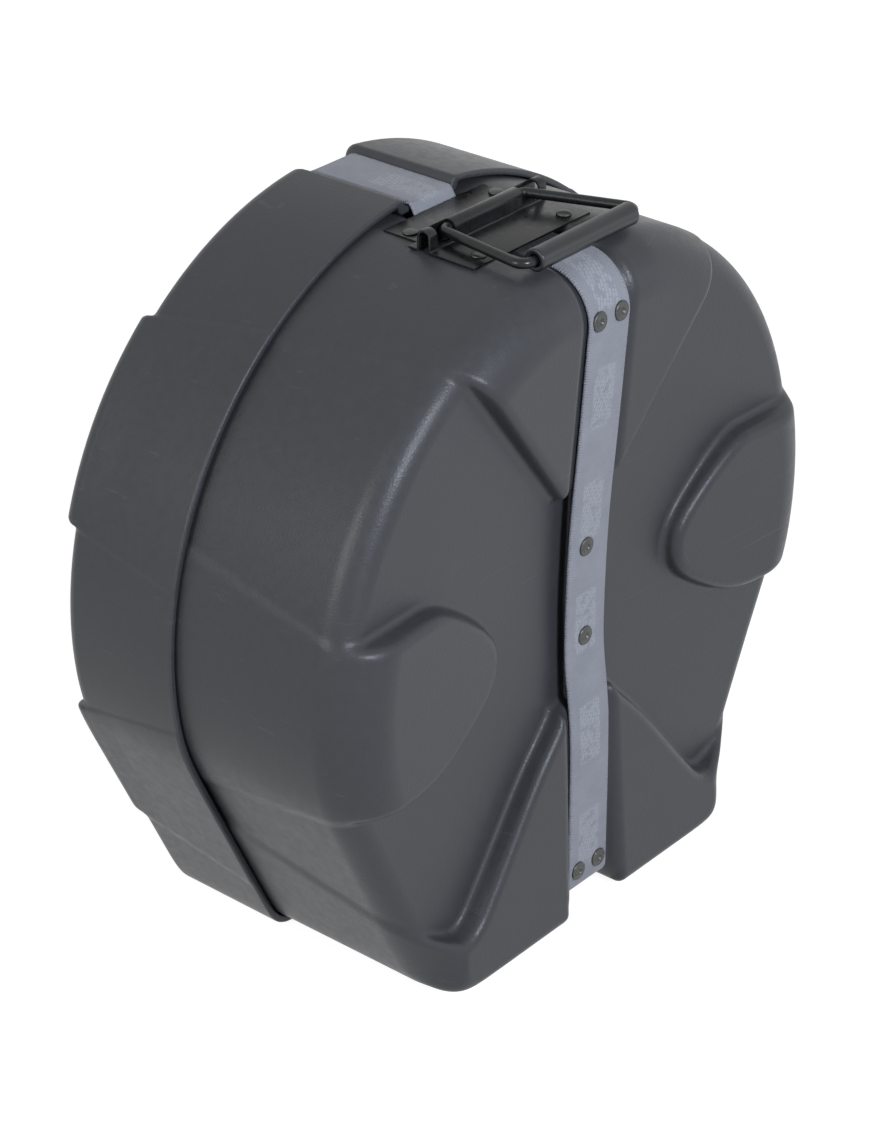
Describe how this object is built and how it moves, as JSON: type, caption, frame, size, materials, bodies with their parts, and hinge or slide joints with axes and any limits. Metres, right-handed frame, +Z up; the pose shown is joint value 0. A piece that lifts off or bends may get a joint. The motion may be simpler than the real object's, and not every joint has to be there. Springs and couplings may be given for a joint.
{
  "type": "drum case",
  "caption": "Round moulded drum case with a flat side to stand on, a telescoping lid held by a web strap and side-release buckle, and a folding bail handle.",
  "frame": {"origin": "on the floor, under the middle of the closed case's box", "axes": "+X to the right seen from the front, +Y from the front face to the lid's back along the drum's axis, +Z up"},
  "size_m": [0.4678, 0.2376, 0.4667],
  "materials": {
    "shell": "black moulded polyethylene with a fine leather grain",
    "webbing": "grey woven webbing",
    "black_steel": "satin black coated steel",
    "dark_zinc": "dark zinc",
    "bright_zinc": "bright zinc",
    "rubber_grip": "matt black rubber",
    "acetal": "black acetal",
    "foam": "charcoal closed-cell foam"
  },
  "bodies": {
    "base": {"base_shell": "shell", "strap_front": "webbing", "strap_rivet_top_left": "dark_zinc", "strap_rivet_top_right": "dark_zinc", "strap_rivet_middle_upper": "dark_zinc", "strap_rivet_middle_lower": "dark_zinc", "strap_rivet_bottom_left": "dark_zinc", "strap_rivet_bottom_right": "dark_zinc", "rivet_washer_top_left": "bright_zinc", "rivet_washer_top_right": "bright_zinc", "rivet_washer_middle_upper": "bright_zinc", "rivet_washer_middle_lower": "bright_zinc", "rivet_washer_bottom_left": "bright_zinc", "rivet_washer_bottom_right": "bright_zinc", "handle_plate": "black_steel", "handle_backing_plate_left": "bright_zinc", "handle_backing_plate_right": "bright_zinc", "handle_rivet_rear_left": "dark_zinc", "handle_rivet_rear_right": "dark_zinc", "handle_rivet_front_left": "dark_zinc", "handle_rivet_front_right": "dark_zinc", "base_foam_disc": "foam", "foam_cradle_left": "foam", "foam_cradle_right": "foam", "foam_cradle_lower_left": "foam", "foam_cradle_lower_right": "foam"},
    "lid": {"lid_shell": "shell", "lid_foam_disc": "foam", "strap_rear_upper": "webbing", "strap_rear_lower": "webbing", "buckle_socket": "acetal", "buckle_plug": "acetal"},
    "bail": {"handle_bail": "black_steel", "handle_grip": "rubber_grip"},
    "prong_left": {"buckle_prong_left": "acetal"},
    "prong_right": {"buckle_prong_right": "acetal"},
    "keeper": {"strap_keeper": "acetal"}
  },
  "joints": [
    {"name": "lid_slide", "type": "slide", "parent": "base", "child": "lid", "axis": [0, 1, 0], "range_m": [0, 0.26]},
    {"name": "bail_hinge", "type": "hinge", "parent": "base", "child": "bail", "pos_m": [-0.004, -0.02191, 0.4595], "axis": [-1, 0, 0], "range_deg": [0, 90]},
    {"name": "prong_left_press", "type": "slide", "parent": "lid", "child": "prong_left", "axis": [1, 0, 0], "range_m": [0, 0.003], "stiffness_N_per_m": 2000},
    {"name": "prong_right_press", "type": "slide", "parent": "lid", "child": "prong_right", "axis": [-1, 0, 0], "range_m": [0, 0.003], "stiffness_N_per_m": 2000},
    {"name": "keeper_slide", "type": "slide", "parent": "lid", "child": "keeper", "axis": [0, 0, 1], "range_m": [-0.018, 0.018]}
  ],
  "couplings": [
    {"joint": "prong_right_press", "follows": "prong_left_press", "ratio": 1}
  ]
}
